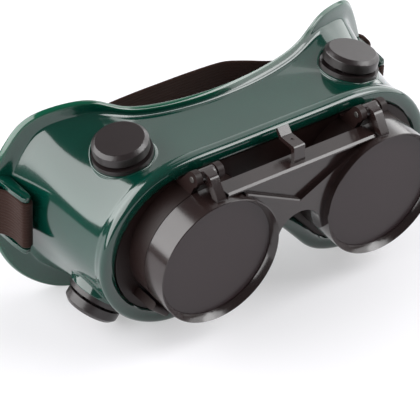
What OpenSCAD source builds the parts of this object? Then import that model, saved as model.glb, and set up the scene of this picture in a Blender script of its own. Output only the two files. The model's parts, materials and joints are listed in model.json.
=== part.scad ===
// Flip-up welding goggles: a soft green mask that carries a fixed double frame with clear lenses,
// and in front of it a lift front with dark lenses that swings up on two hinge pins.
// The pieces are drawn in the wearer's frame: X across the face, Y from the front of the dark
// lenses back to the face, Z up from the line through the lens centres. The whole is then
// leaned forward until it stands on the lip and the cheek lobes of the mask.

/* [Lenses] */
// Diameter of every lens
lens_d = 50; // [48:0.5:52]
// Distance between the two lens centres
lens_pitch = 76.5; // [74:0.5:79]
// Thickness of a dark lens
shade_t = 3; // [2:0.5:3.5]
// Thickness of a clear lens
clear_t = 2; // [1.5:0.5:2.5]
// Gap around a lens in its seat
lens_gap = 0.15; // [0.1:0.05:0.3]

/* [Lift front] */
// Wall of a lens cup
cup_wall = 1.35; // [1.2:0.05:1.6]
// Depth of a lens cup, front to back
cup_depth = 11.7; // [11:0.1:13]
// Depth of the sloping bezel in front of a dark lens
bezel_depth = 3.1; // [2:0.1:4]
// How far the bezel laps over the edge of a dark lens
bezel_lap = 0.5; // [0.4:0.1:1.5]
// Width of the front edge of a cup's rim
rim_edge = 0.3; // [0.2:0.1:0.8]
// Height of the shelf's top above the cups' tops
shelf_rise = 0.9; // [0.4:0.1:2]
// Thickness of the shelf
shelf_t = 1.4; // [1:0.1:2]
// Distance of the shelf and the brace behind the cups' front edges
brace_setback = 3; // [1.5:0.1:4]
// Depth of the shelf, front to back
shelf_depth = 7.7; // [6:0.1:8]
// Height of the point of the V in the brace
brace_point_z = 11; // [9:0.5:14]
// Slope of the two arms of the V, degrees
brace_angle = 27; // [22:1:30]
// Depth of the panel above the V behind the brace's face
brace_step = 2; // [1:0.1:2.5]
// Thickness of the panel above the V
brace_panel = 2.4; // [1.5:0.1:3]
// Radius of the arch under the bridge
arch_r = 10; // [8:0.5:10.5]
// Height of the arch's crown
arch_top_z = 5.6; // [4:0.2:7]

/* [Hinge] */
// Radius of a hinge pin
pin_r = 1.2; // [1:0.1:1.4]
// Running clearance of a hub on its pin, on the radius
pin_clear = 0.06; // [0.04:0.01:0.1]
// Distance of the hinge axis behind the cups' front edges
hinge_y = 12; // [11.5:0.1:13]
// Height of the hinge axis above the cups' tops
hinge_rise = 6; // [5.5:0.1:7]
// Distance of a hinge's middle from the middle of the goggles
hinge_x = 37.9; // [36:0.1:40]
// Radius of a hub
hub_r = 2.7; // [2.4:0.1:3]
// Thickness of an ear
ear_t = 2.7; // [2:0.1:3.5]
// Gap between the two ears of a hinge
ear_gap = 7; // [6:0.1:8]
// Radius of an ear's tip
ear_r = 3.1; // [2.6:0.1:3.4]
// Play of a hub between its ears, on each side
hub_play = 0.3; // [0.3:0.05:0.5]
// Width of a hinge arm below its hub
arm_w = 3.8; // [3:0.1:5]
// Width of the thumb lever
lever_w = 5; // [4:0.5:8]
// Thickness of the thumb lever
lever_t = 1.8; // [1.4:0.1:2.2]
// Height of the thumb lever's flat top above the shelf
lever_h = 6.8; // [6:0.1:7.5]

/* [Lens frame] */
// Wall of a lens tube in front of the clear lens
tube_wall = 1; // [0.9:0.1:1.3]
// Gap between a closed cup and its tube
tube_gap = 0.6; // [0.4:0.1:1]
// Width of the step that a clear lens sits on
seat_step = 1.7; // [1.2:0.1:2.5]
// Depth of a clear lens ring
ring_depth = 2.2; // [1.5:0.1:2.5]
// Width of a lens ring
ring_w = 2.2; // [1.5:0.1:3]
// Thickness of a lens gasket
gasket_t = 0.6; // [0.4:0.1:0.8]
// Thickness of the rim plate that sits in the lip's groove
rim_plate_t = 2.8; // [2:0.1:3.2]
// How far the front face of the frame stands in front of the rim plate
field_step = 1.6; // [1:0.1:2]
// Width of a catch lug
lug_w = 9; // [6:0.5:12]
// Thickness of a catch lug
lug_t = 3.4; // [2.5:0.1:4]
// Angle of a catch lug below the lens centre, degrees
lug_angle = 47; // [40:1:55]
// Number of ribs on the nose rest
nose_ribs = 5; // [3:1:7]

/* [Mask] */
// Half the width of the front opening
opening_half_w = 70.8; // [68:0.2:74]
// Height of the opening's top above the lens centres
opening_top = 27.3; // [27:0.1:30]
// Depth of the opening's bottom below the lens centres
opening_bottom = 33.6; // [32:0.1:36]
// Depth of the nose arch's crown below the lens centres
nose_top = 7; // [6:0.5:10]
// Half the width of the nose arch
nose_half_w = 36; // [33:0.5:39]
// Distance of the lip's front behind the cups' front edges
lip_y = 20.8; // [20.5:0.1:22]
// Width of the lip around the opening
lip_w = 6; // [5.4:0.1:7]
// Depth of the lip, front to back
lip_depth = 5.8; // [5.6:0.1:7]
// Depth of the groove that holds the frame
groove_depth = 3.2; // [2.6:0.1:3.6]
// Thickness of the mask's wall
wall_t = 2.5; // [2:0.1:3]
// How far the neck behind the lip stands outside the opening, at the top and bottom
neck_step = 1.2; // [0.8:0.1:2]
// How far it stands outside the opening at the sides
side_neck_step = 5.2; // [4.6:0.1:5.4]

/* [Face flange] */
// Distance of the flange's middle behind the cups' front edges
face_y = 56; // [54:0.5:60]
// Radius of the curve that the face side follows
face_r = 160; // [150:5:180]
// Slope of the face side towards the cheeks
cheek_slope = 0.04; // [0:0.01:0.08]
// Thickness of the flange
flange_t = 2.5; // [2:0.1:3]
// Width of the flange over the nose and the brow
brow_flange_w = 3; // [2.5:0.25:4]
// Width of the flange at the temples
temple_flange_w = 6; // [5:0.25:8]
// Width of the flange at the cheeks
cheek_flange_w = 8.5; // [7:0.5:10]
// Distance from the middle at which the flange starts to widen
flange_widens_x = 41; // [38:1:45]
// Half the width of the flange
flange_half_w = 89.8; // [87:0.2:92]
// Height of the flange's top in the middle
brow_z = 32.5; // [31:0.5:34]
// Height of the flange's top over the temples
temple_z = 41; // [38:0.2:44]
// Distance of the temples' tops from the middle
temple_x = 55.5; // [53:0.5:58]
// Depth of the cheek lobes below the lens centres
cheek_z = 43.2; // [42:0.2:45]
// Distance of the cheek lobes' lowest points from the middle
cheek_x = 65; // [62:0.5:68]
// Depth of the nose notch's crown below the lens centres
notch_z = 4; // [2:0.5:6]

/* [Vents] */
// Distance of a top vent inward of the side wall
vent_top_inset = 24.3; // [22.5:0.1:26]
// Distance of a top vent in front of the flange's middle
vent_top_forward = 12.3; // [11:0.1:13]
// Height of a top vent's boss above the opening's top
vent_top_rise = 0.6; // [0.2:0.1:1.4]
// Outward tilt of a top vent, degrees
vent_top_tilt = 11.5; // [8:0.5:16]
// Distance of a bottom vent inward of the side wall
vent_bottom_inset = 11; // [10:0.1:12.5]
// Distance of a bottom vent in front of the flange's middle
vent_bottom_forward = 16.8; // [15.5:0.1:18]
// Height of a bottom vent's boss above the opening's bottom
vent_bottom_rise = 5.9; // [5.2:0.1:7]
// Tilt of a bottom vent from straight up, degrees
vent_bottom_tilt = 145; // [140:1:150]
// Radius of a vent boss on the mask
boss_r = 12.4; // [12:0.1:13]
// Radius of the hole through a vent boss
boss_bore_r = 8.4; // [8:0.1:9]
// Radius of a vent seat's flange
vent_r = 11.7; // [11:0.1:12.5]
// Height of a vent's top above its boss
vent_h = 8.3; // [7.5:0.1:9]
// Radius of a vent cap
cap_r = 10.9; // [10.4:0.1:11.2]
// Width of the chamfer around a vent cap's top
cap_chamfer = 1.5; // [1:0.1:2]
// Height of the air gap under a vent cap
air_gap = 1.2; // [0.8:0.1:1.6]
// Radius of the baffle plate behind a vent
baffle_r = 9; // [8:0.5:9.5]

/* [Strap] */
// Width of the strap
strap_w = 21; // [18:0.5:23]
// Thickness of the strap
strap_t = 1.3; // [1:0.1:1.6]
// Depth of the strap's middle below the lens centres
strap_z = 2.1; // [1:0.1:3]
// Clear space between the side wall and the strap round a loop's post
post_clear = 1.5; // [1:0.1:2]
// Distance of the post's middle in front of the flange
post_reach = 12.3; // [11:0.1:14]
// Thickness of a strap loop's arms
loop_arm_t = 2; // [1.6:0.1:2.6]
// Gap between the strap and the flange's edge that it goes round
strap_clear = 1.5; // [1:0.1:2]
// How much higher the strap runs behind the mask
strap_rise = 3.6; // [0:0.2:5]
// Distance of the strap's middle behind the cups' front edges
strap_back_y = 94.3; // [92:0.1:97]
// Length of the sliding keeper along the strap
slide_len = 14; // [10:1:18]
// Wall of the sliding keeper
slide_wall = 1.5; // [1:0.1:2]

/* [Hidden] */

mask_green = "#0a4a3a";
frame_black = "#2c2829";
shade_dark = "#3a3536";
clear_tint = "#c8d4d4";
steel_grey = "#9a9a9c";
strap_brown = "#2a1c16";
gasket_grey = "#4a4a4a";

$fn = 96;
small_fn = 48;
fit_gap = 0.05;

// Lens seats
lens_r = lens_d / 2;
seat_r = lens_r + lens_gap;
lens_x = lens_pitch / 2;
cup_r = seat_r + cup_wall;
tube_r = seat_r + tube_wall;
tube_front_y = cup_depth + tube_gap;
clear_ring_y = tube_front_y + 0.5;
clear_y = clear_ring_y + ring_depth + fit_gap;
gasket_y = clear_y + clear_t + fit_gap;
seat_y = gasket_y + gasket_t + fit_gap;

// Hinge
hinge_z = cup_r + hinge_rise;
ear_x = (ear_gap + ear_t) / 2;
hub_len = ear_gap - 2 * hub_play;
pin_end = 0.4;
shelf_z = cup_r + shelf_rise;

// Frame and groove
groove_front_y = lip_y + 2.7;
groove_back_y = groove_front_y + rim_plate_t + 0.2;
plate_y = groove_front_y + 0.1;
field_y = plate_y - field_step;

// Rounded outlines are closed curves through points given for the right half, from the top
// middle round to the bottom middle
loop_steps = 3;
function mirrored(half) = concat(half, [for (i = [len(half) - 2 : -1 : 1]) [-half[i][0], half[i][1]]]);
function curve_at(a, b, c, d, t) =
    0.5 * (2 * b + (c - a) * t + (2 * a - 5 * b + 4 * c - d) * t * t + (3 * b - a - 3 * c + d) * t * t * t);
function closed_curve(half) =
    let (p = mirrored(half), n = len(p))
    [for (i = [0 : n - 1]) for (s = [0 : loop_steps - 1])
        curve_at(p[(i + n - 1) % n], p[i], p[(i + 1) % n], p[(i + 2) % n], s / loop_steps)];
function outward(loop, i) =
    let (n = len(loop), d = loop[(i + 1) % n] - loop[(i + n - 1) % n])
    [-d[1], d[0]] / norm(d);
function grown(loop, by) = [for (i = [0 : len(loop) - 1]) loop[i] + by * outward(loop, i)];

// Outline round the opening that stands further out at the sides than at the top and bottom
function stepped(top_w, side_w) =
    [for (i = [0 : len(opening) - 1])
        let (out = outward(opening, i))
            opening[i] + (side_w + (top_w - side_w) * pow(out[1], lip_blend)) * out];

// Front opening: straight top, round ends, and a bottom that rises over the nose
opening_r = (opening_top + opening_bottom) / 2;
opening_x = opening_half_w - opening_r;
opening_mid = opening_top - opening_r;
function opening_end(angle) = [opening_x, opening_mid] + opening_r * [cos(angle), sin(angle)];
function nose_arch(x) =
    [x, -opening_bottom + (opening_bottom - nose_top) * (1 + cos(180 * x / nose_half_w)) / 2];
opening = closed_curve(concat(
    [[0, opening_top], [opening_x / 2, opening_top], [opening_x, opening_top]],
    [for (a = [64, 38, 13, -13, -40, -66]) opening_end(a)],
    [[max(opening_x, nose_half_w), -opening_bottom]],
    [for (x = [0.75, 0.51, 0.27, 0]) nose_arch(x * nose_half_w)]));

// Edge of the flange, as the face sees it
flange_edge = closed_curve([
    [0, brow_z],
    [0.43 * temple_x, 1.02 * brow_z],
    [0.73 * temple_x, 0.855 * temple_z],
    [temple_x, temple_z],
    [0.445 * temple_x + 0.555 * flange_half_w, 0.88 * temple_z],
    [0.933 * flange_half_w, 0.537 * temple_z],
    [flange_half_w, 0.073 * temple_z],
    [0.983 * flange_half_w, -0.417 * cheek_z],
    [0.375 * cheek_x + 0.625 * flange_half_w, -0.815 * cheek_z],
    [cheek_x, -cheek_z],
    [0.708 * cheek_x, -0.875 * cheek_z],
    [0.431 * cheek_x, -notch_z - 0.44 * cheek_z],
    [0.185 * cheek_x, -notch_z - 0.104 * cheek_z],
    [0, -notch_z]]);
function ease(t) = let (u = min(max(t, 0), 1)) u * u * (3 - 2 * u);
widening = 20;
cheek_fade = 30;
function flange_w(p) =
    let (side_w = cheek_flange_w + (temple_flange_w - cheek_flange_w) * ease(0.5 + p[1] / cheek_fade))
    brow_flange_w + (side_w - brow_flange_w) * ease((abs(p[0]) - flange_widens_x) / widening);
flange_root = [for (i = [0 : len(flange_edge) - 1])
    flange_edge[i] - flange_w(flange_edge[i]) * outward(flange_edge, i)];
function face_at(p) = face_y + face_r - sqrt(face_r * face_r - p[0] * p[0]) + cheek_slope * (p[1] - brow_z);
function flat_ring(loop, y) = [for (p = loop) [p[0], y, p[1]]];
function face_ring(loop, forward) = [for (p = loop) [p[0], face_at(p) - forward, p[1]]];

// The wall runs from the neck to the flange, and flares late on top
neck_y = groove_back_y + 1.9;
side_flare = 1.5;
lip_blend = 12;
keeper_lap = 0.6;
top_flare = 2.4;
bottom_flare = 1;
function wall_ring(from, to, forward, s) =
    [for (i = [0 : len(from) - 1])
        let (up = outward(opening, i)[1],
            power = side_flare + ((up > 0 ? top_flare : bottom_flare) - side_flare) * up * up,
            p = from[i] + (to[i] - from[i]) * pow(s, power),
            y = neck_y + (face_at(to[i]) - forward - neck_y) * s)
        [p[0], y, p[1]]];
neck_out = stepped(neck_step, side_neck_step);
neck_in = stepped(neck_step - wall_t, side_neck_step - wall_t);
keeper = grown(opening, neck_step - wall_t - keeper_lap);
root_in = grown(flange_root, -wall_t);

// Front face of the flange, and outside of the side wall, at the strap's height
function flange_front_y(x) = face_at([x, -strap_z]) - flange_t;
side_neck_x = opening_half_w + side_neck_step;
side_root_x = flange_half_w - flange_w([flange_half_w, -strap_z]);
function side_wall_x(y) =
    let (s = (y - neck_y) / (flange_front_y(side_root_x) - neck_y))
        side_neck_x + (side_root_x - side_neck_x) * pow(s, side_flare);

mask_rings = concat(
    [flat_ring(opening, groove_front_y),
        flat_ring(opening, lip_y + 1.2),
        flat_ring(grown(opening, 1), lip_y + 0.3),
        flat_ring(grown(opening, lip_w * 0.5), lip_y),
        flat_ring(grown(opening, lip_w - 1), lip_y + 0.5),
        flat_ring(stepped(lip_w, lip_w - 0.1), lip_y + 2),
        flat_ring(stepped(lip_w, (lip_w + side_neck_step) / 2), lip_y + lip_depth - 1.5),
        flat_ring(stepped(lip_w - 1, side_neck_step + 0.2), lip_y + lip_depth),
        flat_ring(stepped(neck_step + 0.8, side_neck_step + 0.1), neck_y - 1.3)],
    [for (s = [0, 0.2, 0.45, 0.7, 0.88, 1]) wall_ring(neck_out, flange_root, flange_t, s)],
    [face_ring(grown(flange_edge, -0.6), flange_t),
        face_ring(flange_edge, flange_t * 0.6),
        face_ring(flange_edge, flange_t * 0.25),
        face_ring(grown(flange_edge, -0.6), 0)],
    [for (s = [1, 0.8, 0.5, 0.2, 0]) wall_ring(neck_in, root_in, 0, s)],
    [flat_ring(keeper, neck_y - 0.3),
        flat_ring(keeper, groove_back_y),
        flat_ring(grown(opening, groove_depth), groove_back_y),
        flat_ring(grown(opening, groove_depth), groove_front_y)]);

// The goggles lean forward until the lip and the cheek lobes stand on one level
function lowest(ring) = let (z = min([for (p = ring) p[2]])) [for (p = ring) if (p[2] == z) p][0];
lip_foot = lowest(mask_rings[6]);
cheek_foot = lowest(mask_rings[17]);
lean = atan2(lip_foot[2] - cheek_foot[2], cheek_foot[1] - lip_foot[1]);
foot_flat = 0.3;
floor_z = lip_foot[1] * sin(lean) + lip_foot[2] * cos(lean) + foot_flat;
front_y = -cup_r * sin(lean);
strap_low_z = -strap_z - strap_w / 2 + strap_rise;
back_y = (strap_back_y + strap_t / 2) * cos(lean) - strap_low_z * sin(lean);
depth_mid = (front_y + back_y) / 2;

// Stands what is drawn in the wearer's frame on the floor
module placed(tint) {
    color(tint) translate([0, -depth_mid, -floor_z]) rotate([lean, 0, 0]) children();
}

// Extrudes an outline drawn across the face, from one depth to another
module plate(from_y, to_y) {
    translate([0, to_y, 0]) rotate([90, 0, 0]) linear_extrude(to_y - from_y) children();
}

// A round bar or hole from front to back
module round_y(r, from_y, to_y) {
    translate([0, from_y, 0]) rotate([-90, 0, 0]) cylinder(r = r, h = to_y - from_y);
}

// Turns a profile of radius and depth round the line of sight
module turned_y() {
    rotate([-90, 0, 0]) rotate_extrude() children();
}

// Extrudes a side view of depth and height across the face, around x
module side_view(x, w) {
    translate([x - w / 2, 0, 0]) rotate([90, 0, 90]) linear_extrude(w) children();
}

module both_sides() {
    children();
    mirror([1, 0, 0]) children();
}

module on_side(side) {
    if (side == "right") children();
    if (side == "left") mirror([1, 0, 0]) children();
}

// Mask

// Joins rings of equal length into one closed skin
module skin(rings) {
    n = len(rings[0]);
    m = len(rings);
    points = [for (ring = rings) for (p = ring) p];
    faces = [for (i = [0 : m - 1]) for (j = [0 : n - 1])
        let (a = i * n + j, b = i * n + (j + 1) % n,
            c = (i + 1) % m * n + (j + 1) % n, d = (i + 1) % m * n + j)
        each [[a, c, b], [a, d, c]]];
    polyhedron(points, faces, convexity = 8);
}

module at_vent(level) {
    y = face_y - (level == "top" ? vent_top_forward : vent_bottom_forward);
    at = level == "top"
        ? [side_wall_x(y) - vent_top_inset, y, opening_top + vent_top_rise]
        : [side_wall_x(y) - vent_bottom_inset, y, vent_bottom_rise - opening_bottom];
    tilt = level == "top" ? vent_top_tilt : vent_bottom_tilt;
    translate(at) rotate([0, tilt, 0]) children();
}

boss_depth = 9;
bore_past = 8;
pocket_gap = 0.3;
cut_size = 200;
loop_gap = 0.4;
loop_top_z = strap_w / 2 - strap_z + loop_gap;
loop_bottom_z = -strap_w / 2 - strap_z - loop_gap;
post_r = 1.05;
post_play = 0.2;
post_y = flange_front_y(side_root_x) - post_reach;
post_x = side_wall_x(post_y) + post_clear + strap_t + post_play + post_r;
post_half = 0.95;
arm_tip_r = 1.9;
arm_root_w = 5.2;
arm_sink = 0.8;

// Plan of one arm of a strap loop, from the flange forward and round its tip
module loop_arm_plan() {
    tip = [post_x + 0.35, post_y - post_half - 0.2];
    in_x = tip[0] - arm_tip_r;
    translate(tip) circle(arm_tip_r, $fn = small_fn);
    polygon([[in_x, tip[1]], [tip[0] + arm_tip_r, tip[1]],
        [in_x + arm_root_w, flange_front_y(in_x + arm_root_w) + arm_sink],
        [in_x, flange_front_y(in_x) + arm_sink]]);
}

// Two arms that reach forward from the flange, and the post between their tips
module strap_loop() {
    for (z = [loop_top_z, loop_bottom_z - loop_arm_t])
        translate([0, 0, z]) linear_extrude(loop_arm_t) loop_arm_plan();
    translate([post_x, post_y, loop_bottom_z - loop_arm_t / 2])
        linear_extrude(loop_top_z - loop_bottom_z + loop_arm_t) {
            for (s = [-1, 1]) translate([0, s * post_half]) circle(post_r, $fn = small_fn);
            square(2 * [post_r, post_half], center = true);
        }
}

// Bosses that the vents sit in, kept clear of the frame's groove
module vent_bosses() {
    difference() {
        for (level = ["top", "bottom"])
            at_vent(level) translate([0, 0, -boss_depth]) cylinder(r = boss_r, h = boss_depth);
        translate([0, groove_back_y + fit_gap - cut_size, -cut_size / 2]) cube(cut_size);
    }
}

module goggle_body() {
    difference() {
        placed(mask_green) difference() {
            union() {
                skin(mask_rings);
                both_sides() {
                    vent_bosses();
                    strap_loop();
                }
            }
            both_sides() for (level = ["top", "bottom"]) at_vent(level) {
                translate([0, 0, -boss_depth - bore_past])
                    cylinder(r = boss_bore_r, h = boss_depth + bore_past + 1);
                cylinder(r = vent_r + pocket_gap, h = vent_h);
            }
        }
        translate([-cut_size, -cut_size, -cut_size]) cube([2 * cut_size, 2 * cut_size, cut_size]);
    }
}

// Fixed frame

module ear_profile() {
    difference() {
        union() {
            translate([hinge_y, hinge_z]) circle(ear_r, $fn = small_fn);
            polygon([[hinge_y - ear_r * 0.4, hinge_z - ear_r * 0.9], [hinge_y + 1.5, tube_r - 2.2],
                [field_y + 0.5, tube_r - 2.2], [field_y + 0.5, opening_top - 0.6],
                [field_y - 1.6, opening_top - 0.4], [hinge_y + ear_r * 0.65, hinge_z + ear_r * 0.76]]);
        }
        translate([hinge_y, hinge_z]) circle(pin_r + 0.02, $fn = small_fn);
    }
}

module catch_lug() {
    reach_y = cup_depth - 2;
    rotate([0, lug_angle, 0]) translate([cup_r + 0.5, 0, -lug_w / 2]) linear_extrude(lug_w) {
        translate([0, reach_y + lug_t / 2]) square([lug_t, field_y + 0.5 - reach_y - lug_t / 2]);
        translate([lug_t / 2, reach_y + lug_t / 2]) circle(lug_t / 2, $fn = small_fn);
    }
}

module nose_rest() {
    rib_pitch = 3.2;
    plate(16.5, field_y + 0.5) polygon([[-9, 5], [9, 5], [10.5, -2], [7, -8], [-7, -8], [-10.5, -2]]);
    for (i = [0 : nose_ribs - 1])
        translate([(i - (nose_ribs - 1) / 2) * rib_pitch - 0.8, 14.8, -6]) cube([1.6, 2, 10]);
}

module lens_frame() {
    placed(frame_black) difference() {
        union() {
            plate(plate_y, plate_y + rim_plate_t) polygon(grown(opening, groove_depth - 0.3));
            plate(field_y, plate_y + 0.5) polygon(grown(opening, -0.4));
            nose_rest();
            both_sides() {
                translate([lens_x, 0, 0]) {
                    round_y(tube_r, tube_front_y, plate_y);
                    catch_lug();
                }
                for (s = [-1, 1]) side_view(hinge_x + s * ear_x, ear_t) ear_profile();
            }
        }
        both_sides() translate([lens_x, 0, 0]) {
            round_y(seat_r, tube_front_y - 1, seat_y);
            round_y(seat_r - seat_step, seat_y - 1, plate_y + rim_plate_t + 1);
        }
    }
}

module lens(r, y, t, tint, side) {
    placed(tint) on_side(side) translate([lens_x, 0, 0]) round_y(r, y, y + t);
}

// Ring with two notches for a key, or plain for a gasket
module lens_ring(y, depth, w, notches, tint, side) {
    placed(tint) on_side(side) translate([lens_x, 0, 0]) difference() {
        round_y(seat_r - fit_gap, y, y + depth);
        round_y(seat_r - fit_gap - w, y - 1, y + depth + 1);
        if (notches) translate([-seat_r, y - 1, -1]) cube([2 * seat_r, 1 + depth / 2, 2]);
    }
}

module hinge_pin(side) {
    reach = ear_x + ear_t / 2 + pin_end;
    placed(steel_grey) on_side(side) translate([hinge_x - reach, hinge_y, hinge_z])
        rotate([0, 90, 0]) cylinder(r = pin_r, h = 2 * reach, $fn = small_fn);
}

// Lift front

module cup_profile() {
    front_r = cup_r - rim_edge;
    lap_r = lens_r - bezel_lap;
    polygon([[front_r, 0], [cup_r, 0.2], [cup_r, cup_depth], [seat_r, cup_depth],
        [seat_r, bezel_depth], [lap_r, bezel_depth], [lap_r, bezel_depth - 0.4]]);
}

// Part of the web between the cups that lies above or below the V
module web_outline(upper) {
    half = 26;
    arm_z = brace_point_z + half * tan(brace_angle);
    difference() {
        if (upper) polygon([[0, brace_point_z - 1], [half, arm_z - 1], [half, shelf_z - 0.5],
            [-half, shelf_z - 0.5], [-half, arm_z - 1]]);
        else polygon([[0, brace_point_z], [half, arm_z], [half, arch_top_z - arch_r - 2],
            [-half, arch_top_z - arch_r - 2], [-half, arm_z]]);
        for (s = [-1, 1]) translate([s * lens_x, 0]) circle(cup_r - cup_wall / 2);
        translate([0, arch_top_z - arch_r]) circle(arch_r);
        translate([-arch_r, arch_top_z - arch_r - 20]) square([2 * arch_r, 20]);
        translate([-40, shelf_z]) square([80, 40]);
    }
}

// Side view of a hinge arm, from the cup's top up to the bend and back to the hub
module arm_profile() {
    polygon([[1.6, cup_r - 0.9], [2.3, cup_r + 1.4], [6.6, hinge_z + 1.2], [7.6, hinge_z + 2.1],
        [hinge_y, hinge_z + hub_r], [hinge_y, hinge_z - hub_r], [8.8, hinge_z - 2.2],
        [5.8, cup_r + 0.6], [5.4, cup_r - 0.9]]);
}

// Side view of the thumb lever: a post on the shelf, a flat top and a raised end
module lever_profile() {
    top = shelf_z + lever_h;
    polygon([[5.2, shelf_z - 1], [5.8, top - 0.4], [6.3, top], [14, top], [16.5, top + 2.6],
        [17.5, top + 1.6], [14.9, top - lever_t], [7.9, top - lever_t], [7.1, shelf_z - 1]]);
}

module lift_front() {
    placed(frame_black) difference() {
        union() {
            both_sides() {
                translate([lens_x, 0, 0]) turned_y() cup_profile();
                side_view(hinge_x, arm_w) arm_profile();
                translate([hinge_x - hub_len / 2, hinge_y, hinge_z]) rotate([0, 90, 0])
                    cylinder(r = hub_r, h = hub_len, $fn = small_fn);
            }
            plate(brace_setback, brace_setback + brace_step + brace_panel) web_outline(false);
            plate(brace_setback + brace_step, brace_setback + brace_step + brace_panel)
                web_outline(true);
            translate([-lens_x + 4, brace_setback, shelf_z - shelf_t])
                cube([2 * lens_x - 8, shelf_depth, shelf_t]);
            side_view(0, lever_w) lever_profile();
        }
        both_sides() {
            translate([lens_x, 0, 0]) round_y(seat_r, bezel_depth, cup_depth + 1);
            translate([hinge_x - hub_len, hinge_y, hinge_z]) rotate([0, 90, 0])
                cylinder(r = pin_r + pin_clear, h = 2 * hub_len, $fn = small_fn);
        }
        translate([0, 10.5, shelf_z + lever_h - 0.3]) cylinder(r = 0.8, h = 1, $fn = small_fn);
    }
}

// Vents

seat_flange_t = 2;
neck_r = cap_r - 2.1;
tube_in_r = boss_bore_r - 1.6;
hub_bore_r = 2.5;
vent_hub_r = 4.2;
plug_depth = 8;
cap_skirt_z = seat_flange_t + air_gap;
cap_top_t = 1.4;

module vent_cap(level, side) {
    placed(frame_black) on_side(side) at_vent(level) {
        rotate_extrude() polygon([[0, vent_h], [cap_r - cap_chamfer, vent_h],
            [cap_r, vent_h - cap_chamfer], [cap_r, cap_skirt_z], [neck_r + 0.1, cap_skirt_z],
            [neck_r + 0.1, vent_h - cap_top_t], [0, vent_h - cap_top_t]]);
        translate([0, 0, -plug_depth / 2]) cylinder(r = hub_bore_r - 0.02, h = plug_depth / 2 + vent_h - 1,
            $fn = small_fn);
    }
}

module vent_seat(level, side) {
    placed(frame_black) on_side(side) at_vent(level) difference() {
        union() {
            translate([0, 0, -plug_depth]) difference() {
                cylinder(r = boss_bore_r - 0.05, h = plug_depth + 0.1);
                translate([0, 0, -1]) cylinder(r = tube_in_r, h = plug_depth + 2);
            }
            difference() {
                cylinder(r = vent_r, h = seat_flange_t);
                translate([0, 0, -1]) cylinder(r = tube_in_r, h = seat_flange_t + 2);
            }
            difference() {
                translate([0, 0, seat_flange_t - 0.1]) cylinder(r = neck_r, h = air_gap + 2.1);
                cylinder(r = tube_in_r, h = seat_flange_t + air_gap + 3);
            }
            translate([0, 0, -plug_depth]) cylinder(r = vent_hub_r, h = plug_depth - 1, $fn = small_fn);
            for (turn = [0, 120, 240]) rotate([0, 0, turn])
                translate([0, -0.8, -plug_depth]) cube([tube_in_r + 0.5, 1.6, 3]);
        }
        translate([0, 0, -plug_depth - 1]) cylinder(r = hub_bore_r, h = plug_depth + 2, $fn = small_fn);
        for (turn = [0 : 45 : 315]) rotate([0, 0, turn + 22.5])
            translate([tube_in_r - 1, -1.6, seat_flange_t]) cube([4, 3.2, air_gap]);
    }
}

module vent_baffle(level, side) {
    placed(frame_black) on_side(side) at_vent(level) {
        translate([0, 0, -plug_depth - 3.6]) cylinder(r = baffle_r, h = 1.2);
        translate([0, 0, -plug_depth - 3]) cylinder(r = vent_hub_r, h = 3 - fit_gap, $fn = small_fn);
        translate([0, 0, -plug_depth - 1]) cylinder(r = hub_bore_r - 0.02, h = plug_depth / 2 + 0.9,
            $fn = small_fn);
    }
}

// Strap

wrap_r = post_r + post_play + strap_t / 2;
layer_pitch = strap_t + 0.25;
edge_y = face_at([flange_half_w, -strap_z]);
round_x = flange_half_w + strap_clear + strap_t / 2;
run_len = 24;
run_to = [flange_half_w - 7.8, edge_y + 2];
run_from = run_to + [-run_len, 0.6];
run_dir = (run_to - run_from) / norm(run_to - run_from);
run_out = [-run_dir[1], run_dir[0]];
rise_len = 28;
strap_steps = 3;

// Plan of the strap's way round a post: sewn end, inner layer, round the front, outer layer
wrap_plan = concat(
    [[post_x + 1.4, post_y + 9.1], [post_x + 0.6, post_y + 7.1], [post_x - 0.9, post_y + 4.7],
        [post_x - wrap_r, post_y + 1.6]],
    [for (a = [180, 225, 270, 315, 360]) [post_x, post_y - post_half] + wrap_r * [cos(a), sin(a)]],
    [[post_x + wrap_r, post_y + 4], [post_x + 2.6, post_y + 7.5], [flange_half_w - 1.3, edge_y - 8.9],
        [round_x - 0.8, edge_y - 5.8], [round_x, edge_y - 2.9]]);
back_plan = [[round_x - 0.5, edge_y + 0.1], [flange_half_w - 1.4, edge_y + 2.2], run_to,
    (2 * run_to + run_from) / 3, (run_to + 2 * run_from) / 3, run_from, run_from + [-11, 2],
    [run_from[0] - 22, strap_back_y - 3.6], [run_from[0] - 30, strap_back_y - 1],
    [run_from[0] - 44, strap_back_y - 0.1]];
function flipped(plan) = [for (p = plan) [-p[0], p[1]]];
function backwards(plan) = [for (i = [len(plan) - 1 : -1 : 0]) plan[i]];
left_plan = concat(flipped(wrap_plan), flipped(back_plan), [[0, strap_back_y]],
    backwards([for (i = [2 : len(back_plan) - 1]) back_plan[i]]));
right_plan = concat(wrap_plan, [[round_x, edge_y + 0.7], [flange_half_w - 0.8, edge_y + 3.4],
        run_to + [2, -0.1] + layer_pitch * run_out],
    [for (t = [0.2, 0.5, 0.8, 1.05]) run_to + t * (run_from - run_to) + layer_pitch * run_out]);

// Open curve through the points, with its ends kept
function open_curve(p) =
    let (n = len(p), q = concat([2 * p[0] - p[1]], p, [2 * p[n - 1] - p[n - 2]]))
    concat([for (i = [0 : n - 2]) for (s = [0 : strap_steps - 1])
        curve_at(q[i], q[i + 1], q[i + 2], q[i + 3], s / strap_steps)], [p[n - 1]]);
function lift_at(p) = p[1] < edge_y ? 0 : strap_rise * ease((run_from[0] - 2 - abs(p[0])) / rise_len);

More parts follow.
